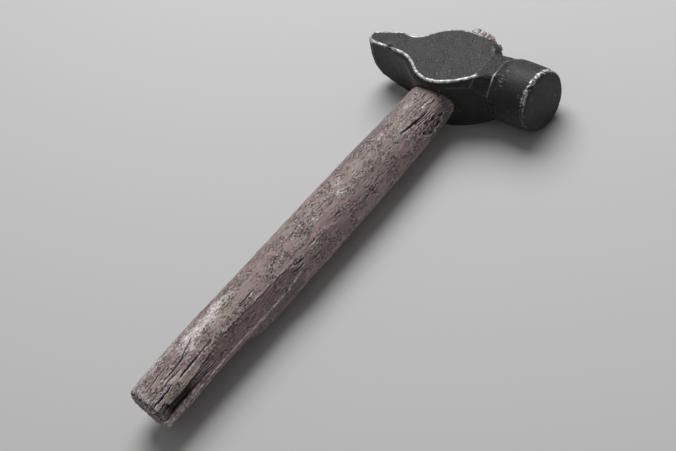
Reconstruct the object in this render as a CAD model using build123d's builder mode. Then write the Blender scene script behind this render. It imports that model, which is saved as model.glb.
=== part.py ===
"""Blacksmith's cross-peen hammer: a forged steel head wedged on a short wooden handle.

The hammer lies on one cheek. X runs along the head towards the striking face, Y runs up the
handle from butt to head, and Z is up. The origin is on the cheek that it lies on, right under
the point where the handle's axis meets the axis of the striking end. Sizes are millimetres.
"""
import os

from build123d import *

# ---- head -----------------------------------------------------------------------------------
CHEEK_WIDTH = 41.0  # across the two flat cheeks
MIDDLE = CHEEK_WIDTH / 2  # height of the head's and the handle's axis
CHEEK_BEVEL = 4.6  # how far each cheek's worn bevel reaches towards the middle

FACE_X = 65.9  # the striking face
FACE_DIAMETER = 39.0
FACE_RIM = 1.8  # chamfer round the striking face
POLL_DIAMETER = 40.6  # the round end at its thickest
POLL_SWELL_X = 48.0  # where it is thickest
RING_X = 37.2  # where the eight-sided neck runs into the round end
RING_DIAMETER = 39.6

NECK_X = 28.5  # where the bulged cheeks end and the neck starts
NECK_SIDE_GAP = 34.4  # across the neck's side flats
NECK_HEIGHT = 34.6  # across its top and bottom flats
NECK_SIDE_FLAT = 13.4  # length of one side flat
NECK_BOTTOM_FLAT = 17.8  # length of the top or bottom flat
RING_STEP = 0.6  # how far the round end stands proud of the neck's flats
FLATS_END_X = 46.0  # where the last of the flats has faded into the round end
FLATS_END_GAP = 43.0  # distance across two opposite flats there, if they went on

PEEN_NOSE = 4.0  # how far the blunt peen edge rounds out past its two sides
PEEN_UNDERSIDE = -15.8  # height of the peen's underside at its edge
PEEN_BROW = (-40.0, 0.4)  # the crest from which the peen's top falls towards its edge
PEEN_FALL = 0.24  # slope of that fall for an edge close to the brow
PEEN_CROWN = 0.0075  # and how much steeper it is for each millimetre that the edge is away
# The peen's edge from the lower cheek to the upper one: (height, X). It bulges in the middle,
# and its lower corner is worn round.
PEEN_EDGE = [(0.0, -46.0), (CHEEK_BEVEL, -56.5), (9.4, -63.6), (16.0, -66.2), (25.9, -65.5),
             (CHEEK_WIDTH - CHEEK_BEVEL, -63.0), (CHEEK_WIDTH, -61.8)]

# The body's outline where its flat cheek ends, and its full outline inside the bevels.
CHEEK_UNDERSIDE = [(-34.0, -16.1), (-23.6, -17.6), (-10.7, -25.2), (2.0, -28.2),
                   (15.7, -24.0), (NECK_X, -13.8)]
CHEEK_TOP = [(NECK_X, 7.0), (20.5, 14.2), (11.0, 16.6), (-4.0, 16.3), (-18.0, 9.6), (-27.0, 1.3),
             (-34.0, -1.1)]
FULL_UNDERSIDE = [(-35.0, -16.7), (-25.5, -20.3), (-13.0, -27.9), (0.6, -30.0), (15.4, -25.8),
                  (NECK_X, -20.0)]
FULL_TOP = [(NECK_X, 10.8), (24.2, 16.2), (11.0, 18.4), (-5.5, 18.2), (-19.5, 11.3), (-28.0, 2.8),
            (-34.0, 0.2)]

# ---- eye and handle -------------------------------------------------------------------------
# Ovals across the handle's axis: (Y, middle X, half size along X, half size along Z).
# The eye is narrowest at its waist, so the wedged tenon can't come off over it.
MOUTH = (-31.0, 0.0, 15.0, 12.9)
WAIST = (-8.0, 0.0, 13.2, 11.0)
EYE_TOP = (20.0, 2.6, 17.0, 12.6)
TENON_TOP = (28.0, 0.0, 12.6, 11.6)  # the wood stands proud of the head
SHAFT = [(-289.0, 0.0, 16.9, 14.6), (-245.0, 0.0, 18.6, 16.0), (-195.0, 0.0, 18.3, 15.8),
         (-125.0, 0.0, 17.9, 15.4), (-85.0, 0.0, 17.3, 14.9), (-48.0, 0.0, 15.9, 13.7), MOUTH]
BUTT_FILLET = 4.5

# ---- wedges ---------------------------------------------------------------------------------
WOOD_WEDGE_THICK = 5.0
WOOD_WEDGE_THIN = 1.0
WOOD_WEDGE_DEPTH = 34.0
STEEL_WEDGE_THICK = 3.2
STEEL_WEDGE_THIN = 0.6
STEEL_WEDGE_DEPTH = 20.0
STEEL_WEDGE_WIDTH = 15.0
STEEL_WEDGE_PLACES = {"steel_wedge_face_side": 6.2, "steel_wedge_peen_side": -6.2}


def body_outline(height, edge_x, underside, top):
    """The body's closed outline at the given height, with the peen's edge at edge_x."""
    shoulder_x = edge_x + PEEN_NOSE
    fall = PEEN_BROW[0] - shoulder_x
    peen_top = PEEN_BROW[1] - PEEN_FALL * fall - PEEN_CROWN * fall**2
    nose = (edge_x, (peen_top + PEEN_UNDERSIDE) / 2)
    with BuildSketch(Plane.XY.offset(height)) as outline:
        with BuildLine():
            lower = Spline((shoulder_x, PEEN_UNDERSIDE), *underside)
            Line(lower @ 1, top[0])
            upper = Spline(*top, PEEN_BROW)
            blade = Line(upper @ 1, (shoulder_x, peen_top))
            ThreePointArc(blade @ 1, nose, lower @ 0)
        make_face()
    return outline.sketch


def eight_sided(x, side_gap, side_flat, end_flat, heights):
    """One eight-sided section across the head.

    side_flat and heights are (lowest, highest) of a side flat and of the whole section, and
    end_flat is the length of the top and bottom flats.
    """
    side, end = side_gap / 2, end_flat / 2
    (side_low, side_high), (low, high) = side_flat, heights
    corners = [(side_low, -side), (low, -end), (low, end), (side_low, side),
               (side_high, side), (high, end), (high, -end), (side_high, -side)]
    with BuildSketch(Plane(origin=(x, 0, MIDDLE), x_dir=(0, 1, 0), z_dir=(1, 0, 0))) as section:
        with BuildLine():
            Polyline(*corners, close=True)
        make_face()
    return section.sketch


def neck_section(x, growth):
    """The neck's even eight-sided section, grown by the given amount on every side."""
    side, height = NECK_SIDE_FLAT / 2, NECK_HEIGHT / 2 + growth
    return eight_sided(x, NECK_SIDE_GAP + 2 * growth, (-side, side), NECK_BOTTOM_FLAT, (-height, height))


def oval(station):
    """One oval across the handle's axis."""
    y, middle_x, half_x, half_z = station
    with BuildSketch(Plane(origin=(middle_x, y, MIDDLE), x_dir=(1, 0, 0), z_dir=(0, 1, 0))) as section:
        Ellipse(half_x, half_z)
    return section.sketch


# ---- the eye, and the tenon that fills its lower half and stands clear of its flared top -------
with BuildPart() as eye:
    loft(sections=[oval(MOUTH), oval(WAIST)])
    loft(sections=[oval(WAIST), oval(EYE_TOP)])

with BuildPart() as tenon:
    loft(sections=[oval(MOUTH), oval(WAIST)])
    loft(sections=[oval(WAIST), oval(TENON_TOP)])

# ---- head -----------------------------------------------------------------------------------
# The round striking end is turned about the head's axis, and the neck's flats fade out on it.
with BuildPart() as round_end:
    with BuildSketch(Plane.XY.offset(MIDDLE)):
        with BuildLine():
            Line((FACE_X, 0), (RING_X, 0))
            Line((RING_X, 0), (RING_X, RING_DIAMETER / 2))
            ThreePointArc((RING_X, RING_DIAMETER / 2), (POLL_SWELL_X, POLL_DIAMETER / 2),
                          (FACE_X - FACE_RIM, FACE_DIAMETER / 2))
            Line((FACE_X - FACE_RIM, FACE_DIAMETER / 2), (FACE_X, FACE_DIAMETER / 2 - FACE_RIM))
            Line((FACE_X, FACE_DIAMETER / 2 - FACE_RIM), (FACE_X, 0))
        make_face()
    revolve(axis=Axis((0, 0, MIDDLE), (1, 0, 0)))
    faded = (FLATS_END_GAP - NECK_SIDE_GAP) / 2
    loft(
        sections=[
            neck_section(RING_X, RING_STEP),
            neck_section(FLATS_END_X, faded),
            neck_section(FACE_X, 2 * faded),
        ],
        ruled=True,
        mode=Mode.INTERSECT,
    )

with BuildPart() as head:
    lower_cheek, *inside_bevels, upper_cheek = PEEN_EDGE
    loft(
        sections=[
            body_outline(*lower_cheek, CHEEK_UNDERSIDE, CHEEK_TOP),
            *[body_outline(*edge, FULL_UNDERSIDE, FULL_TOP) for edge in inside_bevels],
            body_outline(*upper_cheek, CHEEK_UNDERSIDE, CHEEK_TOP),
        ],
        ruled=True,
    )
    # the neck, from the cheeks to the ring
    loft(
        sections=[
            eight_sided(
                NECK_X,
                CHEEK_WIDTH,
                (CHEEK_UNDERSIDE[-1][1], CHEEK_TOP[0][1]),
                CHEEK_WIDTH - 2 * CHEEK_BEVEL,
                (FULL_UNDERSIDE[-1][1], FULL_TOP[0][1]),
            ),
            neck_section(RING_X, 0),
        ],
        ruled=True,
    )
    add(round_end.part)
    add(eye.part, mode=Mode.SUBTRACT)
head.part.label = "head"

# ---- wedges ---------------------------------------------------------------------------------
with BuildPart() as steel_wedges:
    for place in STEEL_WEDGE_PLACES.values():
        with BuildSketch(Plane.XY.offset(MIDDLE - STEEL_WEDGE_WIDTH / 2)):
            with BuildLine():
                Polyline(
                    (place - STEEL_WEDGE_THICK / 2, TENON_TOP[0]),
                    (place + STEEL_WEDGE_THICK / 2, TENON_TOP[0]),
                    (place + STEEL_WEDGE_THIN / 2, TENON_TOP[0] - STEEL_WEDGE_DEPTH),
                    (place - STEEL_WEDGE_THIN / 2, TENON_TOP[0] - STEEL_WEDGE_DEPTH),
                    close=True,
                )
            make_face()
        extrude(amount=STEEL_WEDGE_WIDTH)

with BuildPart() as wooden_wedge:
    with BuildSketch(Plane.YZ.offset(-EYE_TOP[2])):
        with BuildLine():
            Polyline(
                (TENON_TOP[0], MIDDLE - WOOD_WEDGE_THICK / 2),
                (TENON_TOP[0], MIDDLE + WOOD_WEDGE_THICK / 2),
                (TENON_TOP[0] - WOOD_WEDGE_DEPTH, MIDDLE + WOOD_WEDGE_THIN / 2),
                (TENON_TOP[0] - WOOD_WEDGE_DEPTH, MIDDLE - WOOD_WEDGE_THIN / 2),
                close=True,
            )
        make_face()
    extrude(amount=2 * EYE_TOP[2])
    add(tenon.part, mode=Mode.INTERSECT)
    add(steel_wedges.part, mode=Mode.SUBTRACT)
wooden_wedge.part.label = "wooden_wedge"

# ---- handle ---------------------------------------------------------------------------------
with BuildPart() as handle:
    loft(sections=[oval(station) for station in SHAFT])
    fillet(handle.edges().group_by(Axis.Y)[0], BUTT_FILLET)
    add(tenon.part)
    add(steel_wedges.part, mode=Mode.SUBTRACT)
    add(wooden_wedge.part, mode=Mode.SUBTRACT)
handle.part.label = "handle"

os.makedirs("parts", exist_ok=True)
export_step(head.part, "parts/head.step")
export_step(handle.part, "parts/handle.step")
export_step(wooden_wedge.part, "parts/wooden_wedge.step")
for solid, name in zip(steel_wedges.part.solids().sort_by(Axis.X, reverse=True), STEEL_WEDGE_PLACES):
    solid.label = name
    export_step(solid, f"parts/{name}.step")
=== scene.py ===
"""Looks of a blacksmith's cross-peen hammer: a worn forged head wedged on a weathered handle.

The hammer lies on one cheek, as the CAD frame has it: X runs along the head to the striking
face, Y up the handle from its butt, and Z upwards. Detail is written in millimetres, and meshes
are made in metres. All noise has fixed seeds, so each run gives the same hammer.
"""

import math

import bpy
import numpy as np
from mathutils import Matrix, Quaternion, Vector
from mathutils.bvhtree import BVHTree


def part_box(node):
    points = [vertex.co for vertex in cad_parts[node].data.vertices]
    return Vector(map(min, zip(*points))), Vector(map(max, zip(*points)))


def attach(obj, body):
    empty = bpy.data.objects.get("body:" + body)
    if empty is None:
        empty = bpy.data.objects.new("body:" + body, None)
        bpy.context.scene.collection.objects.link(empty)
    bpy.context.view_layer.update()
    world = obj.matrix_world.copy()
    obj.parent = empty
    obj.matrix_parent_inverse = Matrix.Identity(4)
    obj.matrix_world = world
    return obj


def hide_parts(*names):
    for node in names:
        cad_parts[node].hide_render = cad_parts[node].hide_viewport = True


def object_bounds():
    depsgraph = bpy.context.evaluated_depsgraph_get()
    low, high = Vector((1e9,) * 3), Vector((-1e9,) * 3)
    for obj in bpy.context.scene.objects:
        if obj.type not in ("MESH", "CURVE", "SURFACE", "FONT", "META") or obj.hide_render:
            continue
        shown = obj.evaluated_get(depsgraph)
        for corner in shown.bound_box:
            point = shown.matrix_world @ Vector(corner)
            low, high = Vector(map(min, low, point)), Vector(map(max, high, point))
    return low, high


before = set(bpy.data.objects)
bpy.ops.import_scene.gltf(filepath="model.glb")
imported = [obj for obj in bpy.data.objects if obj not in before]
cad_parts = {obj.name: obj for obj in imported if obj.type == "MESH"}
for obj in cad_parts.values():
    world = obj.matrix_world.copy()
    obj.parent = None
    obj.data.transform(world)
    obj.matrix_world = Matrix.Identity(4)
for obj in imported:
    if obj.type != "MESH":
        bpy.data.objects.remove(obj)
cad_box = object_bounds()

MM = 0.001

# ---- the frame's own sizes, in millimetres ----------------------------------------------------
HEAD_LOW, HEAD_HIGH = (np.array(corner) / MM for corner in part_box("head"))
HANDLE_LOW, HANDLE_HIGH = (np.array(corner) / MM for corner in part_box("handle"))
MIDDLE = (HEAD_LOW[2] + HEAD_HIGH[2]) / 2  # height of the head's and the handle's axis
NEAR_CHEEK = HEAD_HIGH[2]
FACE_X = HEAD_HIGH[0]
BUTT_Y = HANDLE_LOW[1]
TENON_END_Y = HANDLE_HIGH[1]
MOUTH_Y = -31.0  # where the handle goes into the eye
NECK_X = 28.5  # where the bulged cheeks end and the eight-sided neck starts
RING_X = 37.2  # where the neck runs into the round end
BROW_X = -40.0  # the crest from which the peen's top falls towards its edge
NOTCH_X, NOTCH_Y = -42.0, -16.2  # the notch knocked out of the peen's near edge


# ---- noise and other helpers ------------------------------------------------------------------
def hashed(cells, seed):
    """A steady pseudo-random number from 0 to 1 for each whole-numbered lattice cell."""
    # large numbers without shared factors, which scatter the cells
    key = cells.astype(np.int64) @ np.array([73856093, 19349663, 83492791]) + seed * 2654435761
    key = (key ^ (key >> 13)) * 1274126177
    key = (key ^ (key >> 16)) & 0xFFFFFF
    return key / 0xFFFFFF


def smooth_noise(points, seed):
    """Noise from about -1 to 1 that changes over one unit. points has a row for each point."""
    cell = np.floor(points)
    inside = points - cell
    ease = inside**3 * (inside * (inside * 6 - 15) + 10)
    total = np.zeros(len(points))
    for corner in np.ndindex(2, 2, 2):
        slope = np.stack([hashed(cell + corner, seed + axis) for axis in range(3)], axis=1) * 2 - 1
        weight = np.prod(np.where(corner, ease, 1 - ease), axis=1)
        total += weight * ((inside - corner) * slope).sum(axis=1)
    return total * 1.6  # brings the strongest swings to about 1


def layered_noise(points, seed, layers=3):
    """Noise with finer and weaker layers added."""
    total = np.zeros(len(points))
    for layer in range(layers):
        total += smooth_noise(points * 2**layer, seed + 10 * layer) / 2**layer
    return total


def ease(value, low, high):
    """0 below low, 1 above high, and smooth between."""
    share = np.clip((value - low) / (high - low), 0, 1)
    return share * share * (3 - 2 * share)


def pits(points, spacing, share, radius, seed):
    """Depth from 0 to 1 of round pits: a share of the lattice's cells hold one."""
    cell = np.floor(points / spacing)
    depth = np.zeros(len(points))
    for offset in np.ndindex(3, 3, 3):
        near = cell + offset - 1
        shift = np.stack([hashed(near, seed + axis) for axis in range(3)], axis=1)
        size = radius * (0.45 + 0.55 * hashed(near, seed + 3))
        away = np.linalg.norm(points - (near + shift) * spacing, axis=1) / size
        held = hashed(near, seed + 4) < share
        depth = np.maximum(depth, np.where(held, np.clip(1 - away**2, 0, 1), 0))
    return depth


def new_piece(name, mesh, slot, material, *nodes):
    """Adds a mesh as a piece that stands for the CAD nodes and rides with them."""
    piece = bpy.data.objects.new(name, mesh)
    bpy.context.scene.collection.objects.link(piece)
    mesh.materials.clear()
    mesh.materials.append(material)
    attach(piece, "root")
    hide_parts(*nodes)


def set_attributes(mesh, **values):
    """Gives the mesh a float at each vertex under each name, for its material to read."""
    for name, numbers in values.items():
        layer = mesh.attributes.new(name, "FLOAT", "POINT")
        layer.data.foreach_set("value", np.asarray(numbers, np.float32).ravel())


# ---- materials --------------------------------------------------------------------------------
WOOD_MARKS = ("dark", "pale", "fresh", "beige", "stain")  # what the wood's material reads


class Finish:
    """One node material, built a node at a time. Its patterns stay fixed to the object."""

    def __init__(self, name):
        self.material = bpy.data.materials.new(name)
        self.material.use_nodes = True
        self.tree = self.material.node_tree
        self.shader = self.tree.nodes["Principled BSDF"]
        self.place = self.tree.nodes.new("ShaderNodeTexCoord").outputs["Object"]

    def feed(self, socket, value):
        """Sets a socket to a number or colour, or links it to a node's output."""
        if isinstance(value, bpy.types.NodeSocket):
            self.tree.links.new(value, socket)
        else:
            socket.default_value = value

    def node(self, kind, inputs, output=0, **settings):
        """Adds a node with its settings and inputs, and gives one of its outputs."""
        node = self.tree.nodes.new("ShaderNode" + kind)
        for key, value in settings.items():
            setattr(node, key, value)
        for key, value in inputs.items():
            self.feed(node.inputs[key], value)
        return node.outputs[output]

    def attribute(self, name):
        return self.node("Attribute", {}, "Fac", attribute_name=name)

    def noise(self, x, y, z, detail, roughness):
        """Noise from 0 to 1 that changes over about x, y and z millimetres."""
        scale = (1 / (x * MM), 1 / (y * MM), 1 / (z * MM))
        place = self.node("Mapping", {"Vector": self.place, "Scale": scale})
        inputs = {"Vector": place, "Scale": 1.0, "Detail": detail, "Roughness": roughness}
        return self.node("TexNoise", inputs)

    def between(self, value, low, high):
        """0 where the value is under low, 1 where it is over high, and smooth between."""
        return self.node("MapRange", {0: value, 1: low, 2: high}, interpolation_type="SMOOTHSTEP")

    def scaled(self, value, low, high, first, second):
        """The first number where the value is low, going to the second where it is high."""
        return self.node("MapRange", {0: value, 1: low, 2: high, 3: first, 4: second})

    def maths(self, operation, *values):
        return self.node("Math", dict(enumerate(values)), operation=operation)

    def times(self, first, second):
        return self.maths("MULTIPLY", first, second)

    def mix(self, share, first, second):
        """The first colour, going to the second as the share goes from 0 to 1."""
        return self.node("Mix", {"Factor": share, 6: first, 7: second}, 2, data_type="RGBA")

    def painted(self, body, layers):
        """The body colour under layers of (share, colour), each over the ones before it."""
        for share, colour in layers:
            body = self.mix(share, body, colour)
        return body

    def bump(self, height, depth, below=None):
        """A bump that is depth millimetres high where height goes from 0 to 1."""
        inputs = {"Height": height, "Distance": depth * MM}
        if below is not None:
            inputs["Normal"] = below
        return self.node("Bump", inputs)

    def finish(self, colour, roughness, normal, **constants):
        """Links the shader, and sets what is the same all over it."""
        self.feed(self.shader.inputs["Base Color"], colour)
        self.feed(self.shader.inputs["Roughness"], roughness)
        self.feed(self.shader.inputs["Normal"], normal)
        for key, value in constants.items():
            self.shader.inputs[key].default_value = value
        return self.material


def grey(level, warmth=0.0):
    """A grey colour, a little redder than blue where warmth is above 0."""
    return (level * (1 + warmth), level, level * (1 - warmth), 1.0)


def forged_steel():
    """Dark forged steel: fine speckle, clusters of specks, painted shade in the hollows, and bright
    worn edges.
    """
    f = Finish("forged_steel")
    patches = f.noise(14, 14, 14, 4.0, 0.6)
    speckle = f.noise(0.9, 0.9, 0.9, 3.0, 0.6)
    specks = f.noise(1.0, 1.0, 1.0, 2.0, 0.6)
    clusters = f.noise(6, 6, 6, 3.0, 0.6)
    clusters = f.maths("ADD", clusters, f.times(f.attribute("spot"), 0.14))
    clusters = f.between(clusters, 0.585, 0.68)
    pitted = f.times(f.between(specks, 0.47, 0.38), clusters)
    dark_specks_and_shade = f.maths("MAXIMUM", f.attribute("hollow"), f.maths("MAXIMUM", pitted, f.attribute("pit")))
    # worn metal is broken up by rubbing marks and by grit
    rub = f.noise(1.8, 1.8, 1.8, 4.0, 0.7)
    grit = f.noise(0.32, 0.32, 0.32, 2.0, 0.6)
    worn = f.times(f.attribute("worn"), f.between(rub, 0.32, 0.48))
    worn = f.times(worn, f.between(grit, 0.24, 0.44))
    body = f.mix(f.between(patches, 0.35, 0.65), grey(0.024, 0.02), grey(0.034, 0.02))
    body = f.painted(body, [
        (f.between(speckle, 0.55, 0.80), grey(0.085, 0.02)),
        (f.between(speckle, 0.42, 0.22), grey(0.016, 0.03)),
        # bright specks, dark specks with painted shade in the hollows, pits and notch, and bare
        # metal on top
        (f.times(f.between(specks, 0.58, 0.70), clusters), grey(0.42, 0.01)),
        (f.times(dark_specks_and_shade, 0.85), grey(0.012, 0.1)),
        (worn, grey(0.95, 0.01)),
    ])
    roughness = f.scaled(speckle, 0.3, 0.7, 0.66, 0.5)
    roughness = f.scaled(worn, 0.0, 1.0, roughness, 0.4)
    normal = f.bump(speckle, 0.05)
    normal = f.bump(f.times(specks, clusters), 0.3, normal)
    return f.finish(body, roughness, normal, Metallic=0.4)


def weathered_wood():
    """Old bare wood: mauve-grey and beige, crazed in places, with torn grain and rubbed spots."""
    f = Finish("weathered_wood")
    dark, pale, fresh, beige, stain = (f.attribute(mark) for mark in WOOD_MARKS)
    tones = f.noise(10, 24, 10, 3.0, 0.6)
    crazed = f.between(f.noise(7, 13, 7, 2.0, 0.5), 0.41, 0.56)
    crazed = f.maths("SUBTRACT", crazed, f.times(f.maths("MAXIMUM", fresh, stain), 0.5))
    fibres = f.noise(0.5, 7, 0.5, 4.0, 0.65)
    mottle = f.noise(0.7, 1.5, 0.7, 3.0, 0.65)
    # hair cracks follow the lines along which a wandering noise crosses its middle
    wander = f.noise(0.9, 5.0, 0.9, 3.0, 0.6)
    away = f.maths("ABSOLUTE", f.maths("SUBTRACT", wander, 0.5))
    hair_cracks = f.times(f.between(away, 0.024, 0.006), crazed)
    # crazing leaves light flakes with dark gaps between them
    light_flakes = f.times(f.between(mottle, 0.53, 0.62), f.maths("ADD", crazed, 0.1))
    dark_gaps = f.times(f.between(mottle, 0.46, 0.37), f.maths("ADD", crazed, 0.15))
    rubbed = f.times(pale, f.between(mottle, 0.38, 0.56))
    body = f.mix(f.between(tones, 0.42, 0.60), (0.365, 0.256, 0.254, 1), (0.345, 0.274, 0.250, 1))
    body = f.painted(body, [
        (f.times(beige, 0.8), (0.36, 0.315, 0.255, 1)),
        (f.times(fresh, 0.85), (0.185, 0.118, 0.114, 1)),
        (f.times(stain, 0.75), (0.17, 0.135, 0.142, 1)),
        # light and dark fibres
        (f.between(fibres, 0.55, 0.78), (0.52, 0.425, 0.42, 1)),
        (f.between(fibres, 0.45, 0.24), (0.180, 0.120, 0.117, 1)),
        (light_flakes, (0.66, 0.57, 0.555, 1)),
        (rubbed, (0.93, 0.87, 0.86, 1)),
        (dark_gaps, (0.085, 0.052, 0.048, 1)),
        (hair_cracks, (0.035, 0.020, 0.018, 1)),
        # dark: the end grain's rings, and painted shade in cracks, checks, pits, broken-out hollows
        # and low spots
        (dark, (0.026, 0.014, 0.012, 1)),
    ])
    roughness = f.scaled(fibres, 0.3, 0.7, 0.82, 0.62)
    normal = f.bump(fibres, 0.16)
    normal = f.bump(f.times(mottle, f.maths("ADD", crazed, 0.2)), 0.55, normal)
    normal = f.bump(f.maths("SUBTRACT", 1.0, hair_cracks), 0.25, normal)
    return f.finish(body, roughness, normal)


STEEL = forged_steel()
WOOD = weathered_wood()


# ---- the forged head --------------------------------------------------------------------------
HEAD_SPACING = 0.53  # size of the head's quads in millimetres, small enough for chips and pits
WEDGE_SPACING = 0.3


def even_mesh(node, name, spacing):
    """A new mesh with the CAD node's shape, in even quads of the given size in millimetres."""
    source = bpy.data.objects.new(name + "_source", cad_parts[node].data.copy())
    bpy.context.scene.collection.objects.link(source)
    remesh = source.modifiers.new("even_quads", "REMESH")
    remesh.mode = "VOXEL"
    remesh.voxel_size = spacing * MM
    graph = bpy.context.evaluated_depsgraph_get()
    mesh = bpy.data.meshes.new_from_object(source.evaluated_get(graph), depsgraph=graph)
    mesh.name = name
    bpy.data.objects.remove(source)
    return mesh


def read_rows(items, key, width, kind=np.float32):
    """One property of a mesh's vertices, normals or edges, a row for each."""
    numbers = np.empty(len(items) * width, kind)
    items.foreach_get(key, numbers)
    return numbers.reshape(-1, width)


def read_points(mesh):
    """The mesh's vertices in millimetres, a row for each."""
    return read_rows(mesh.vertices, "co", 3).astype(float) / MM


def read_normals(mesh):
    return read_rows(mesh.vertex_normals, "vector", 3).astype(float)


def read_links(mesh):
    """The two vertices of each edge, as two rows."""
    return read_rows(mesh.edges, "vertices", 2, np.int32).T


def write_points(mesh, points):
    mesh.vertices.foreach_set("co", (points * MM).astype(np.float32).ravel())
    mesh.update()


def averaged(values, links, times):
    """The values, a row for each vertex, evened out with their neighbours' that many times."""
    first, second = links
    count = len(values)
    neighbours = np.bincount(np.concatenate([first, second]), minlength=count)
    for _ in range(times):
        total = np.stack([
            np.bincount(first, column[second], count) + np.bincount(second, column[first], count)
            for column in values.T
        ], axis=1)
        values = (values + total / neighbours[:, None]) / 2
    return values


def near_to(points, centre, radius):
    """1 at the centre, falling to 0 about two radii away."""
    return np.exp(-((np.linalg.norm(points - np.array(centre), axis=1) / radius) ** 2))


def bare_metal(points, edge, brow, notch):
    """How bare the metal is at each point, and how likely a cluster of specks is, from 0 to 1."""
    x, y, z = points.T
    from_axis = np.hypot(y, z - MIDDLE)

    # bright along the cheeks' edges, faint along the others and towards the neck
    from_cheek = np.minimum(HEAD_HIGH[2] - z, z - HEAD_LOW[2])
    on_cheek_edge = ease(from_cheek, 3.0, 1.2)
    beside_neck = ease(x, NECK_X - 5, NECK_X - 1) * ease(y, -14, -10)
    above_eye = ease(x, 8, 14) * ease(y, 6, 12)
    on_neck = ease(x, NECK_X, NECK_X + 2)
    before_ring = ease(x, RING_X, RING_X - 3)
    share = 0.07 + 0.93 * on_cheek_edge
    share *= 1 - 0.96 * np.maximum(beside_neck, above_eye) * before_ring
    share *= 1 - 0.75 * on_neck * before_ring
    share *= 1 - 0.95 * brow * (1 - on_cheek_edge)
    share *= 1 - 0.4 * ease(y, 3, 9) * on_cheek_edge
    broken = 0.4 + 0.6 * ease(layered_noise(points / 3.4, 23, 4), -0.35, 0.25)

    # a line round the ring, strongest at two opposite corners of the neck
    ring = ease(np.abs(x - RING_X - 0.3), 0.75, 0.2) * ease(from_axis, 16.0, 17.0)
    corner = near_to(points, (RING_X, -7.2, HEAD_HIGH[2] - 3.3), 3.5)
    corner += near_to(points, (RING_X, 7.2, HEAD_LOW[2] + 3.3), 3.5)
    worn = np.maximum(edge * share * broken, ring * np.clip(0.16 + corner, 0, 1))
    beside_notch = near_to(points, (NOTCH_X, NOTCH_Y, NEAR_CHEEK), 2.8)
    worn = np.maximum(worn, 0.35 * beside_notch - 1.5 * notch)

    # and an uneven band of bare metal where the face's chamfer begins, painted brightest on its
    # upper side as highlight
    upper_side = ease(z - MIDDLE + 0.7 * y, -12, 8)
    rim = ease(np.abs(x - FACE_X + 2.0 + 0.8 * layered_noise(points / 3, 21)), 1.5, 0.3)
    rim *= ease(layered_noise(points / 1.5, 22), -0.45, 0.3)
    on_face_edge = ease(x, FACE_X - 5.0, FACE_X - 3.4)
    worn = worn * (1 - on_face_edge) + on_face_edge * rim * (0.07 + 0.93 * upper_side)

    # clusters of specks gather past the ring, by the face, above the neck and along the cheeks
    spot = 0.75 * near_to(points, (RING_X + 5, -4.0, HEAD_HIGH[2] - 1), 9.0)
    spot += 0.8 * ease(x, FACE_X - 8, FACE_X - 3) * upper_side * ease(from_axis, 17, 18)
    spot += 0.7 * near_to(points, (29.0, 8.0, NEAR_CHEEK), 7.0) + 0.8 * edge * on_cheek_edge
    return worn, np.clip(spot, 0, 1)


def build_head():
    """The CAD head with worn edges, chips, pits and the uneven skin that forging leaves."""
    mesh = even_mesh("head", "hammer_head", HEAD_SPACING)
    links = read_links(mesh)
    sharp = read_points(mesh)
    rounded = averaged(sharp, links, 3)
    broad = averaged(rounded, links, 16)
    write_points(mesh, broad)
    normal = read_normals(mesh)
    standing = ((sharp - averaged(sharp, links, 14)) * normal).sum(axis=1)  # above 0 on edges
    x, y, _ = sharp.T

    # the flats fade softly into the round end, past the crisp edge of the ring
    fading = ease(x, RING_X + 0.8, RING_X + 2.2) * ease(x, FACE_X - 9, FACE_X - 14)
    edge = ease(standing, 0.03, 0.10) * (1 - fading)
    # the hollows, which the steel's material paints dark as shade
    hollow = ease(-standing, 0.03, 0.2) * (1 - fading)

    # edges are worn unevenly: here crisp, there rounded, with small chips knocked out
    uneven = np.maximum(ease(layered_noise(sharp / 7, 11), -0.25, 0.45), fading)
    brow = ease(np.abs(x - BROW_X), 4, 2) * ease(y, -8, -4)
    uneven = np.maximum(uneven, 1.25 * brow)
    points = rounded + (broad - rounded) * (0.8 * uneven)[:, None]
    chips = ease(layered_noise(sharp / 2.6, 12), 0.28, 0.75) * edge
    depth = 0.4 * chips

    # the forged skin
    depth += 0.15 * layered_noise(sharp / 15, 13) + 0.06 * layered_noise(sharp / 4, 14)
    depth += 0.03 * smooth_noise(sharp / 1.4, 15)
    clusters = ease(layered_noise(sharp / 11, 18), 0.0, 0.35)
    small_pits = pits(sharp, 2.3, 0.55, 0.75, 16) * clusters
    dents = pits(sharp, 9.0, 0.3, 2.4, 17)
    depth += 0.10 * small_pits + 0.18 * dents

    # single marks: the notch in the peen's edge, and the lip raised beside the eye
    notch = near_to(sharp, (NOTCH_X, NOTCH_Y, NEAR_CHEEK - 0.5), 2.0)
    lip = near_to(sharp, (22.5, 17.5, MIDDLE), 5.5) * ease(y, 12.0, 16.0)
    depth += 1.5 * notch - 1.3 * lip
    points -= normal * depth[:, None]
    points[:, 2] = np.clip(points[:, 2], HEAD_LOW[2], HEAD_HIGH[2])
    points[:, 0] = np.minimum(points[:, 0], FACE_X)
    write_points(mesh, points)
    mesh.shade_smooth()

    worn, spot = bare_metal(sharp, edge, brow, notch)
    # the pits and the notch, which the steel's material paints dark as shade
    pit = np.maximum(0.35 * small_pits, notch)
    set_attributes(mesh, worn=worn, hollow=hollow, pit=pit, spot=spot)
    new_piece("hammer_head", mesh, "forged_steel", STEEL, "head")


# ---- the weathered handle ---------------------------------------------------------------------
COLUMNS = 256  # round the handle
ROW_STEP = 0.85  # along it, in millimetres
CAP_ROWS = 22  # from the middle of an end to its rim
END_CHECKS = (35, 118, 160, -65, -140)  # bearings of the cracks across the end grain
OVAL = 0.862  # the handle's height over its width
MM_PER_DEGREE = np.radians(1) * 17.5  # round the handle, at its usual half width
EDGE_ON = 0.2  # a flat cut ends where the skin turns this far from it


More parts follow.
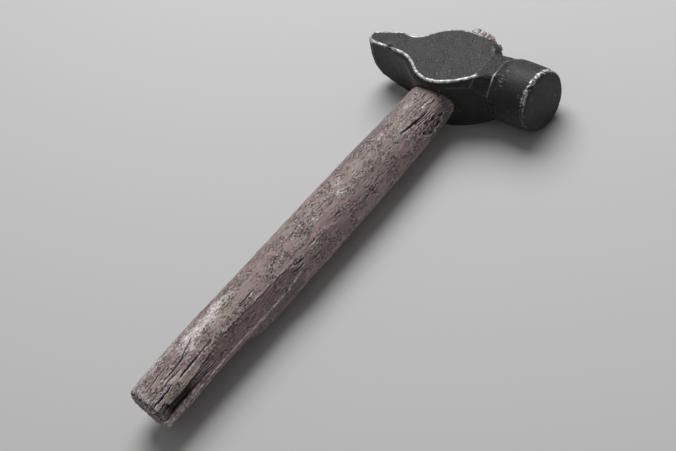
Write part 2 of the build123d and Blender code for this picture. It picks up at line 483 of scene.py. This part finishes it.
class Skin:
    """The handle's surface as a grid: rows from the butt to the tenon's end, columns round it.

    y and angle place each point on the smooth handle, with angle 0 at +X and 90 at +Z, and
    bearing is its true direction from the axis. height is how far the skin stands out there,
    in millimetres, and marks are the numbers that the wood's material reads.
    """

    def __init__(self, base):
        self.base = base
        self.shape = base.shape[:2]
        self.y = base[..., 1]
        self.angle = np.degrees(np.arctan2((base[..., 2] - MIDDLE) / OVAL, base[..., 0]))
        self.bearing = np.degrees(np.arctan2(base[..., 2] - MIDDLE, base[..., 0]))
        self.radius = np.hypot(base[..., 0], base[..., 2] - MIDDLE)
        self.height = np.zeros(self.shape)
        self.marks = {name: np.zeros(self.shape) for name in WOOD_MARKS}

    def mark(self, name, strength):
        """Makes a mark at least that strong."""
        self.marks[name] = np.maximum(self.marks[name], strength)

    def follow(self, table, column=1):
        """A table's column at each row of the skin. The table's column 0 is y."""
        values = np.array(table, float)
        return np.interp(self.y, values[:, 0], values[:, column])

    def noise(self, across, along, seed, layers=3):
        """Noise stretched along the grain, over the whole skin."""
        points = self.base.reshape(-1, 3) / np.array([across, along, across])
        return layered_noise(points, seed, layers).reshape(self.shape)

    def line_distance(self, route, wander, seed):
        """Distance in millimetres from a route of (y, angle) points, and the share along it.

        Noise shifts the route sideways by up to the wander, in millimetres.
        """
        best = np.full(self.shape, np.inf)
        share = np.zeros(self.shape)
        around = self.angle * MM_PER_DEGREE
        place = np.stack([self.y / 3.5, around / 6, np.full(self.shape, seed)], -1)
        drift = wander * smooth_noise(place.reshape(-1, 3), seed).reshape(self.shape)
        route = np.array(route, float)
        count = len(route) - 1
        for k in range(count):
            start, step = route[k], route[k + 1] - route[k]
            run = np.array([step[0], step[1] * MM_PER_DEGREE])
            away_y = self.y - start[0]
            away_u = (self.angle - start[1]) * MM_PER_DEGREE + drift
            along = np.clip((away_y * run[0] + away_u * run[1]) / (run @ run), 0, 1)
            distance = np.hypot(away_y - along * run[0], away_u - along * run[1])
            closer = distance < best
            best = np.where(closer, distance, best)
            share = np.where(closer, (k + along) / count, share)
        return best, share

    def crack(self, route, width, depth, seed=1, dark=1.0):
        """A ragged crack along a route, deepest in the middle of its length."""
        distance, share = self.line_distance(route, wander=0.55, seed=seed)
        taper = np.clip(4 * share * (1 - share), 0, 1) ** 0.35
        cut = np.clip(1 - distance / (width * (0.25 + 0.6 * taper)), 0, 1)
        self.height -= depth * taper * ease(cut, 0, 0.75)
        # painted shade in the crack, darkest where it is deepest
        self.mark("dark", dark * taper * ease(cut, 0.1, 0.8))

    def patch(self, name, centre, size, strength, seed):
        """Adds a soft-edged uneven patch to a mark. size is its half length and half width."""
        across = (self.angle - centre[1]) * MM_PER_DEGREE
        away = np.hypot((self.y - centre[0]) / size[0], across / size[1])
        uneven = 0.45 * self.noise(1.8, 6, seed)
        self.mark(name, strength * ease(1.15 - away + uneven, 0, 0.45))

    def flat_cut(self, facing, reach, within):
        """Cuts the skin back to a plane, and gives how much went at each point.

        facing is the plane's bearing, reach its distance from the axis, within where it applies.
        """
        turn = np.cos(np.radians(self.bearing - facing))
        limit = reach / np.maximum(turn, EDGE_ON)
        excess = np.clip(self.radius + self.height - limit, 0, None) * (turn > EDGE_ON)
        self.height -= excess * within
        return excess * within


def smooth_grid():
    """The handle as smooth rows of ovals, read off the CAD node by looking in from its sides."""
    tree = BVHTree.FromObject(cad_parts["handle"], bpy.context.evaluated_depsgraph_get())
    far = 100.0
    beside = 0.03  # a hair off the CAD mesh's seams
    above = 4.0  # clear of the wedge's slot, which the sideways look would pass through

    def seen(start, towards):
        return tree.ray_cast(Vector(start) * MM, Vector(towards))[0] / MM

    def half_sizes(y):
        """Half the oval's size along X and along Z, by what is seen off its axis."""
        half_z = seen((beside, y + beside, far), (0, 0, -1)).z - MIDDLE
        side = seen((far, y + beside, MIDDLE + above), (-1, 0, 0)).x
        return side / math.sqrt(1 - (above / half_z) ** 2), half_z

    # close rows round the butt's corner, even ones up to the mouth, few ones inside the eye where
    # nothing shows, and even ones again at the tenon's end
    rows_y = [BUTT_Y + step for step in (0.05, 0.3, 0.7, 1.3, 2.1, 3.2)]
    rows_y += list(np.arange(BUTT_Y + 4.5, MOUTH_Y + 2, ROW_STEP))
    rows_y += list(np.linspace(MOUTH_Y + 4, 8, 12))
    rows_y += list(np.arange(9, TENON_END_Y, ROW_STEP))
    halves = np.array([half_sizes(y) for y in rows_y])
    for _ in range(6):  # ironing out the CAD mesh's own flats
        halves[8:-2] = (halves[7:-3] + 2 * halves[8:-2] + halves[9:-1]) / 4
    shares = [1.0] * len(rows_y)
    cap = list(np.linspace(0, 1, CAP_ROWS + 1)[1:-1])
    rows_y = [BUTT_Y] * len(cap) + rows_y + [TENON_END_Y] * len(cap)
    halves = np.concatenate([np.repeat(halves[:1], len(cap), 0), halves,
                             np.repeat(halves[-1:], len(cap), 0)])
    shares = cap + shares + cap[::-1]
    turn = np.radians(np.arange(COLUMNS) * 360 / COLUMNS)
    base = np.empty((len(rows_y), COLUMNS, 3))
    base[..., 0] = (halves[:, 0] * shares)[:, None] * np.cos(turn)
    base[..., 1] = np.array(rows_y)[:, None]
    base[..., 2] = MIDDLE + (halves[:, 1] * shares)[:, None] * np.sin(turn)
    return base


def grid_normals(points):
    """Outward directions of a grid that closes round its columns."""
    around = np.roll(points, -1, axis=1) - np.roll(points, 1, axis=1)
    along = np.gradient(points, axis=0)
    normal = np.cross(along, around)
    return normal / np.maximum(np.linalg.norm(normal, axis=2, keepdims=True), 1e-9)


def blurred(grid, rows, columns):
    """The grid averaged over a window that many rows and columns either way."""
    total = sum(np.roll(grid, k, axis=1) for k in range(-columns, columns + 1))
    padded = np.pad(total, ((rows, rows), (0, 0)), mode="edge")
    total = sum(padded[k:k + len(grid)] for k in range(2 * rows + 1))
    return total / ((2 * rows + 1) * (2 * columns + 1))


def close_grid(points, name):
    """A closed mesh of a grid of points, with one more point in the middle of each end."""
    rows, columns = points.shape[:2]
    flat = np.concatenate([points.reshape(-1, 3), points[:1].mean(1), points[-1:].mean(1)])
    index = np.arange(rows * columns).reshape(rows, columns)
    following = np.roll(index, -1, axis=1)
    quads = np.stack([index[:-1], index[1:], following[1:], following[:-1]], -1).reshape(-1, 4)
    first, last = rows * columns, rows * columns + 1
    faces = quads.tolist()
    faces += [(first, a, b) for a, b in zip(index[0], following[0])]
    faces += [(last, b, a) for a, b in zip(index[-1], following[-1])]
    mesh = bpy.data.meshes.new(name)
    mesh.from_pydata((flat * MM).tolist(), [], faces)
    mesh.shade_smooth()
    return mesh


def weather(skin):
    """Grain, worn hollows, thin flakes and many small dark pits all over the wood."""
    bare = ease(skin.y, MOUTH_Y + 8, MOUTH_Y - 2) + ease(skin.y, 12, 16)  # 0 inside the eye
    skin.height += 0.30 * skin.noise(13, 60, 21)
    skin.height += 0.10 * skin.noise(2.6, 14, 22)
    grain = skin.noise(0.9, 20, 23, 2)
    skin.height -= bare * 0.2 * ease(np.abs(grain), 0.2, 0.0)
    flakes = skin.noise(3.6, 18, 24)
    skin.height += bare * 0.13 * (ease(flakes, 0.05, 0.12) + ease(flakes, 0.45, 0.52))
    worn = skin.noise(1.3, 3.6, 25)
    skin.height -= bare * 0.3 * ease(worn, 0.42, 0.8)
    # the deepest parts of these worn hollows are painted dark as shade
    skin.mark("dark", bare * 0.45 * ease(worn, 0.55, 0.95))
    # the wood swells over the eye's mouth on the peen side
    swell = ease(skin.y, -62, -34) * ease(skin.y, MOUTH_Y + 4, MOUTH_Y) * ease(skin.angle, 80, 130)
    skin.height += 0.9 * swell


class Window(Skin):
    """A few rows of a skin, with angles turned so that a route doesn't cross the seam."""

    def __init__(self, skin, rows, angle):
        self.base = skin.base[rows]
        self.shape = self.base.shape[:2]
        self.y = skin.y[rows]
        self.angle = angle[rows]
        self.whole, self.rows = skin, rows
        self.height = skin.height[rows]
        self.marks = {name: values[rows] for name, values in skin.marks.items()}

    def crack(self, route, width, depth, seed=1, dark=1.0):
        super().crack(route, width, depth, seed, dark)
        self.whole.height[self.rows] = self.height
        for name, values in self.marks.items():
            self.whole.marks[name][self.rows] = values


def short_cracks(skin, count, seed):
    """Short cracks along the grain, placed at random from one seed."""
    draw = np.random.default_rng(seed)
    for _ in range(count):
        y = draw.uniform(BUTT_Y + 4, MOUTH_Y - 3)
        angle = draw.uniform(-180, 180)
        length = draw.choice([1.5, 2.5, 4, 7, 12], p=[0.3, 0.3, 0.2, 0.14, 0.06])
        slant = draw.normal(0, 5)
        bend = draw.normal(0, 2)
        width = draw.uniform(0.3, 0.6)
        depth = draw.uniform(0.2, 0.55)
        rows = np.abs(skin.y[:, 0] - y) < length / 2 + 3
        turn = (skin.angle - angle + 180) % 360 - 180
        window = Window(skin, rows, turn + angle)
        start, end = (y - length / 2, angle - slant), (y + length / 2, angle + slant)
        window.crack([start, (y, angle + bend), end], width, depth, dark=0.75)


# along the split, from the butt up: the angle of its step and of its ridge, as (y, angle)
STEP = [(-272, 36), (-256, 40), (-240, 48), (-229, 49.6), (-210, 46.5), (-192, 44.5), (-167, 41)]
RIDGE = [(-288, 0), (-268, 2), (-245, 6), (-223, 7), (-206, 3), (-185, 4), (-178, 9), (-172, 16)]
PAST_RIDGE = [
    # the plane past the ridge: (y, bearing that it faces, distance from the axis)
    (-292, -41, 13.6), (-268, -40, 13.9), (-245, -38, 13.2), (-222, -36, 13.4), (-205, -18, 16.2),
    (-185, -8, 16.6), (-165, -5, 19.0),
]
TORN_FACING, TORN_REACH = 20, 15.4  # the torn face's bearing and distance from the axis

# the pocket in the butt's end, along the handle: the angles of its two sides, and its depth
POCKET_UPPER = [(-292, 41), (-280.5, 40), (-279.5, 33), (-268, 31.5), (-258, 30), (-246, 25)]
POCKET_LOWER = [(-292, 5), (-284, 6), (-268, 9), (-250, 15)]
POCKET_DEPTH = [(-292, 1.4), (-284, 1.8), (-279, 3.6), (-266, 3.0), (-256, 0.9)]

# how far the tenon's face side still reaches from the axis, towards its end
TENON_REACH = [(10, 20), (16, 15.5), (20, 12), (28, 9.6)]


def split_side(skin):
    """The long split beside the grip: a step, the flat torn face below it, and the face past it."""
    towards_butt = ease(skin.y, -162, -182)
    ragged = skin.noise(2.0, 12, 31)
    below_step = ease(skin.follow(STEP) + 1.2 * ragged - skin.angle, 0, 2.0) * (skin.angle > -130)
    reach = TORN_REACH + 0.3 * skin.noise(3, 40, 32, 2) + 3 * (1 - towards_butt)
    torn = skin.flat_cut(TORN_FACING, reach, below_step)
    past_reach = skin.follow(PAST_RIDGE, 2) + 0.3 * skin.noise(3, 30, 33, 2)
    past = skin.flat_cut(skin.follow(PAST_RIDGE, 1), past_reach, 1.0)
    bared = np.maximum(ease(torn, 0.1, 0.5), ease(past, 0.1, 0.5))
    skin.mark("fresh", 0.5 * bared)
    fibres = ease(np.abs(skin.noise(0.8, 40, 34, 2)), 0.25, 0.0)
    skin.height -= 0.2 * fibres * bared
    distance, _ = skin.line_distance(RIDGE, wander=0.4, seed=35)
    skin.mark("pale", 0.9 * ease(distance, 1.2, 0.2))


def broken_butt(skin):
    """The wood broken out of the butt's end beside the split, with slivers left standing."""
    lower = skin.follow(POCKET_LOWER)
    inside = ease(skin.follow(POCKET_UPPER) - skin.angle, 0, 2.0) * ease(skin.angle - lower, 0, 4)
    inside *= ease(skin.y, -246, -252) * (skin.radius > 11)
    slivers = skin.noise(1.1, 30, 41, 2)
    skin.height -= inside * skin.follow(POCKET_DEPTH) * (0.85 + 0.3 * slivers)
    # painted shade in the pocket, darker towards the butt's end and away from its lower side
    pocket_shade = ease(skin.y, -260, -268) * (0.35 + 0.65 * ease(skin.y, -284, -279))
    pocket_shade *= ease(skin.angle - lower, 1, 5)
    skin.mark("dark", 0.7 * inside * pocket_shade)
    skin.mark("fresh", inside)


def torn_by_head(skin):
    """The rough hole torn out beside the head, and the lifted flake above it."""
    away = np.hypot((skin.y + 46) / 10.5, (skin.angle - 12) / 21)
    rough = skin.noise(2.2, 4.0, 51, 4)
    inside = ease(1.1 - away + 0.35 * rough, 0, 0.5)
    skin.height -= inside * (0.9 + 0.8 * rough)
    skin.mark("fresh", inside)
    # the deepest parts of the hole are painted dark as shade
    skin.mark("dark", inside * ease(rough, 0.25, 0.7) * 0.55)
    flake = ease(skin.y, -67, -64.5) * ease(skin.angle, 52, 55) * ease(76 - skin.angle, 0, 3)
    flake *= ease(skin.y, MOUTH_Y + 2, MOUTH_Y - 6)
    skin.height += 0.45 * flake
    skin.mark("beige", 0.5 * flake)


def broken_tenon(skin):
    """The tenon's end: standing proud, cracked along the grain and broken away on its face side."""
    out = ease(skin.y, 10, 16)
    ragged = skin.noise(1.6, 5, 56)
    skin.height -= out * ease(ragged, 0.1, 0.7) * 0.6
    cut = skin.flat_cut(8, skin.follow(TENON_REACH) + 0.8 * ragged, out)
    skin.mark("fresh", 0.9 * ease(cut, 0.2, 1.2))
    # where the face side is cut deepest, towards the head, it is painted dark as shade
    skin.mark("dark", 0.9 * ease(cut, 0.6, 2.4) * ease(skin.y, 25, 20))
    skin.mark("pale", out * ease(skin.angle, 30, 60) * ease(165 - skin.angle, 0, 30))


LONG_CRACKS = [
    # (route of (y, angle) points, width, depth), in millimetres and degrees
    # the groove with the lifted flake above it, and the two below, beside the head
    ([(-67, 58), (-62, 56), (-56, 53), (-49, 49), (-43, 46)], 1.2, 1.5),
    ([(-57, 49), (-50, 45), (-41, 40)], 0.9, 0.9),
    ([(-54, 42), (-47, 39), (-40, 35)], 0.7, 0.8),
    # the step at the top of the split
    ([(-240, 49), (-229, 50), (-210, 47.5), (-192, 45.5), (-175, 43), (-166, 42)], 0.7, 0.6),
    # the butt half
    ([(-213, 65), (-207, 65.5), (-200, 65)], 0.7, 0.9),
    ([(-265, 55.5), (-257, 57.5), (-249, 58.5)], 1.1, 1.5),
    ([(-291, 54), (-279, 55), (-270, 57)], 0.9, 1.2),
    ([(-291, 41.5), (-281, 42), (-279.5, 34), (-271, 33), (-258, 34), (-247, 35)], 1.0, 1.4),
    ([(-250, 58), (-243, 60), (-236, 59)], 0.6, 0.6),
    ([(-283, 88), (-272, 92), (-262, 94)], 0.8, 0.8),
    ([(-274, 74), (-262, 76), (-250, 79)], 0.8, 0.8),
    ([(-262, 76), (-255, 80), (-247, 90), (-242, 93)], 0.7, 0.7),
    ([(-281, 66), (-270, 67), (-262, 66)], 0.7, 0.7),
    ([(-265, 25), (-254, 28), (-242, 29)], 0.6, 0.7),
    ([(-263, 20), (-250, 21), (-236, 21)], 0.6, 0.7),
    ([(-256, 17), (-246, 16), (-238, 17)], 0.6, 0.6),
    ([(-288, 30), (-282, 30), (-277, 28)], 0.8, 0.8),
    ([(-282, 120), (-268, 124), (-256, 122)], 0.8, 0.7),
    # chips where the split starts
    ([(-173, 39), (-169, 36), (-165, 34)], 0.9, 0.8),
    ([(-176, 28), (-171, 26), (-167, 27)], 0.8, 0.7),
    # the middle
    ([(-143, 94), (-138, 95), (-133, 95)], 0.6, 0.6),
    ([(-137, 80), (-132, 81), (-127, 80)], 0.6, 0.6),
    ([(-134, 43), (-131, 45), (-129, 43)], 0.9, 0.7),
    ([(-158, 44), (-154, 43), (-152, 46)], 0.8, 0.7),
    # beside the eye's mouth
    ([(-38, 112), (-36, 108), (-37, 100)], 0.9, 0.8),
    ([(-44, 86), (-38, 84), (-32, 82)], 0.7, 0.7),
    ([(-46, 68), (-39, 66), (-32, 64)], 0.7, 0.7),
    ([(-42, 58), (-36, 55), (-32, 53)], 0.7, 0.7),
    # the tenon's end
    ([(14, 72), (20, 74), (28, 73)], 0.7, 0.9),
    ([(14, 96), (20, 93), (28, 94)], 0.8, 1.0),
    ([(14, 118), (21, 116), (28, 118)], 0.7, 0.8),
]

# patches of (centre (y, angle), (half length, half width) in millimetres, strength)
PALE_PATCHES = [
    ((-236, 97), (20, 4.5), 0.9),
    ((-219, 103), (9, 3.5), 1.0),
    ((-228, 83), (7, 2.0), 0.4),
    ((-209, 97), (4, 2.5), 0.8),
    ((-248, 77), (5, 2.2), 0.8),
    ((-276, 62), (13, 1.4), 0.7),
    ((-286, 90), (4, 16), 0.5),
    ((-265, 126), (24, 4.0), 0.6),
    ((-120, 67), (3.5, 2.4), 0.7),
    ((-116, 92), (5.0, 2.6), 0.5),
    ((-142, 70), (3.5, 1.6), 0.5),
    ((-126, 84), (5.0, 1.6), 0.5),
    ((-160, 78), (2.5, 1.4), 0.5),
    ((-42, 62), (2.0, 1.6), 0.8),
    ((-45, 98), (6, 3.0), 0.4),
    ((-55, 6), (3.0, 2.4), 0.7),
    ((-76, 90), (4.0, 2.0), 0.4),
]

BEIGE_PATCHES = [
    ((-271, 46), (10, 4.0), 0.9),
    ((-150, 95), (14, 7.0), 0.5),
    ((-46, 80), (16, 9.0), 0.8),
    ((-219, 80), (13, 5.0), 0.6),
    ((-100, 75), (16, 7.0), 0.4),
]

STAINS = [
    ((-82, 120), (26, 8.0), 0.8),
    ((-44, 100), (15, 16.0), 0.6),
    ((-86, 50), (20, 7.0), 0.45),
    ((-36, 14), (8, 9.0), 0.95),
    ((-194, -10), (24, 5.0), 1.0),
    ((-266, 99), (11, 3.2), 0.75),
    ((-140, 25), (45, 7.0), 0.35),
    ((-185, 112), (30, 5.0), 0.35),
    ((-150, -110), (60, 14.0), 0.4),
    ((-235, -75), (30, 9.0), 0.5),
]


def frayed_ends(skin, normal):
    """A pale frayed rim round the butt, and end grain with rings and checks on both ends."""
    rim = ease(skin.y, BUTT_Y + 3.6, BUTT_Y + 1.2) * ease(skin.radius, 9, 11)
    skin.mark("pale", 0.75 * rim)
    skin.height -= rim * 0.7 * ease(skin.noise(1.3, 60, 72), 0.0, 0.6)
    on_end = np.abs(normal[..., 1]) > 0.7
    fray = skin.noise(1.6, 1.6, 71)
    rings = ease(np.sin(3.1 * skin.radius + 1.5 * fray), 0.1, 0.9)
    skin.height -= on_end * (0.4 + 0.35 * fray + 0.15 * rings)
    skin.mark("dark", on_end * 0.35 * rings)
    for bearing in END_CHECKS:
        beside = skin.radius * np.abs(np.sin(np.radians((skin.bearing - bearing) / 2))) * 2
        check = on_end * ease(beside + 0.3 * fray, 0.75, 0.25) * ease(skin.radius, 2.5, 5)
        skin.height -= 0.9 * check
        # the checks are painted dark as shade
        skin.mark("dark", 0.9 * check)


def build_handle():
    """The handle: an oval shaft with weathered, split and broken wood, and a rough tenon end."""
    skin = Skin(smooth_grid())
    normal = grid_normals(skin.base)
    weather(skin)
    short_cracks(skin, count=300, seed=7)
    split_side(skin)
    broken_butt(skin)
    torn_by_head(skin)
    broken_tenon(skin)
    for number, (route, width, depth) in enumerate(LONG_CRACKS):
        skin.crack(route, width, depth, seed=60 + number)
    patches = (("pale", PALE_PATCHES, 100), ("beige", BEIGE_PATCHES, 130), ("stain", STAINS, 160))
    for name, table, first_seed in patches:
        for number, (centre, size, strength) in enumerate(table):
            skin.patch(name, centre, size, strength, first_seed + number)
    frayed_ends(skin, normal)
    points = skin.base + normal * skin.height[..., None]
    points[..., 1] = np.clip(points[..., 1], BUTT_Y, TENON_END_Y)
    # what stands up is rubbed pale, and what lies low is painted dark as shade
    relief = skin.height - blurred(skin.height, rows=2, columns=2)
    skin.mark("pale", 0.75 * ease(relief, 0.07, 0.24))
    skin.mark("dark", ease(-relief, 0.08, 0.35))
    mesh = close_grid(points, "handle_wood")
    unmarked = np.zeros(2)  # the points in the middle of the two ends
    set_attributes(mesh, **{
        name: np.concatenate([values.ravel(), unmarked]) for name, values in skin.marks.items()})
    new_piece("handle_wood", mesh, "weathered_wood", WOOD, "handle")


def build_wedge(node, slot, material, seed, **marks):
    """A CAD wedge with its driven end battered."""
    mesh = even_mesh(node, node + "_worn", WEDGE_SPACING)
    links = read_links(mesh)
    sharp = read_points(mesh)
    write_points(mesh, averaged(sharp, links, 2))
    normal = read_normals(mesh)
    points = read_points(mesh)
    driven = ease(sharp[:, 1], TENON_END_Y - 3, TENON_END_Y - 1)
    depth = driven * np.clip(0.12 + 0.25 * layered_noise(sharp / 1.3, seed), 0, None)
    points -= normal * depth[:, None]
    points[:, 1] = np.minimum(points[:, 1], TENON_END_Y)
    write_points(mesh, points)
    mesh.shade_smooth()
    set_attributes(mesh, **{name: driven * value for name, value in marks.items()})
    new_piece(node + "_worn", mesh, slot, material, node)


build_head()
build_handle()
build_wedge("wooden_wedge", "wedge_wood", WOOD, 81, beige=0.9, pale=0.3)
build_wedge("steel_wedge_face_side", "wedge_steel", STEEL, 82, worn=0.06, spot=0.8)
build_wedge("steel_wedge_peen_side", "wedge_steel", STEEL, 83, worn=0.06, spot=0.8)


# ---- floor, light and camera ------------------------------------------------------------------
FLOOR_SIZE = 6.0
FLOOR_GREY = 0.62
WORLD_STRENGTH = 0.18
AIM = (cad_box[0] + cad_box[1]) / 2 + Vector((10.4, -3.1, 0.0)) * MM  # the middle of the view
VIEW_DISTANCE = 0.7166
VIEW_AZIMUTH, VIEW_ELEVATION, VIEW_ROLL = 63.9, 46.2, -28.4  # degrees
LENS = 63.9  # focal length in millimetres


def direction(azimuth, elevation):
    """From the object: azimuth 0 is towards -Y and 90 towards +X."""
    turn, rise = math.radians(azimuth), math.radians(elevation)
    flat = math.cos(rise)
    return Vector((math.sin(turn) * flat, -math.cos(turn) * flat, math.sin(rise)))


def build_floor():
    """A plain pale floor at height 0."""
    mesh = bpy.data.meshes.new("floor")
    half = FLOOR_SIZE / 2
    corners = [(-half, -half, 0), (half, -half, 0), (half, half, 0), (-half, half, 0)]
    mesh.from_pydata(corners, [], [(0, 1, 2, 3)])
    floor = bpy.data.objects.new("floor", mesh)
    bpy.context.scene.collection.objects.link(floor)
    material = bpy.data.materials.new("pale_floor")
    material.use_nodes = True
    shader = material.node_tree.nodes["Principled BSDF"]
    shader.inputs["Base Color"].default_value = grey(FLOOR_GREY)
    shader.inputs["Roughness"].default_value = 0.9
    mesh.materials.append(material)


def soft_light(name, azimuth, elevation, distance, size, power):
    """A round soft light in metres and watts that points at the middle of the view."""
    lamp = bpy.data.lights.new(name, "AREA")
    lamp.shape = "DISK"
    lamp.size = size
    lamp.energy = power
    holder = bpy.data.objects.new(name, lamp)
    bpy.context.scene.collection.objects.link(holder)
    towards = direction(azimuth, elevation)
    holder.location = AIM + towards * distance
    holder.rotation_euler = towards.to_track_quat("Z", "Y").to_euler()


def build_camera():
    lens = bpy.data.cameras.new("camera")
    lens.lens = LENS
    lens.clip_start, lens.clip_end = 0.05, 50.0
    camera = bpy.data.objects.new("camera", lens)
    bpy.context.scene.collection.objects.link(camera)
    towards = direction(VIEW_AZIMUTH, VIEW_ELEVATION)
    camera.location = AIM + towards * VIEW_DISTANCE
    camera.rotation_mode = "QUATERNION"
    roll = Quaternion((0, 0, 1), math.radians(VIEW_ROLL))
    camera.rotation_quaternion = towards.to_track_quat("Z", "Y") @ roll
    bpy.context.scene.camera = camera


def build_world():
    """Faint even light from all round."""
    world = bpy.data.worlds.new("studio")
    world.use_nodes = True
    background = world.node_tree.nodes["Background"]
    background.inputs["Color"].default_value = grey(1.0)
    background.inputs["Strength"].default_value = WORLD_STRENGTH
    bpy.context.scene.world = world
    bpy.context.scene.view_settings.view_transform = "Standard"


build_floor()
build_world()
soft_light("key_light", azimuth=-150, elevation=54, distance=1.5, size=1.2, power=21)
build_camera()
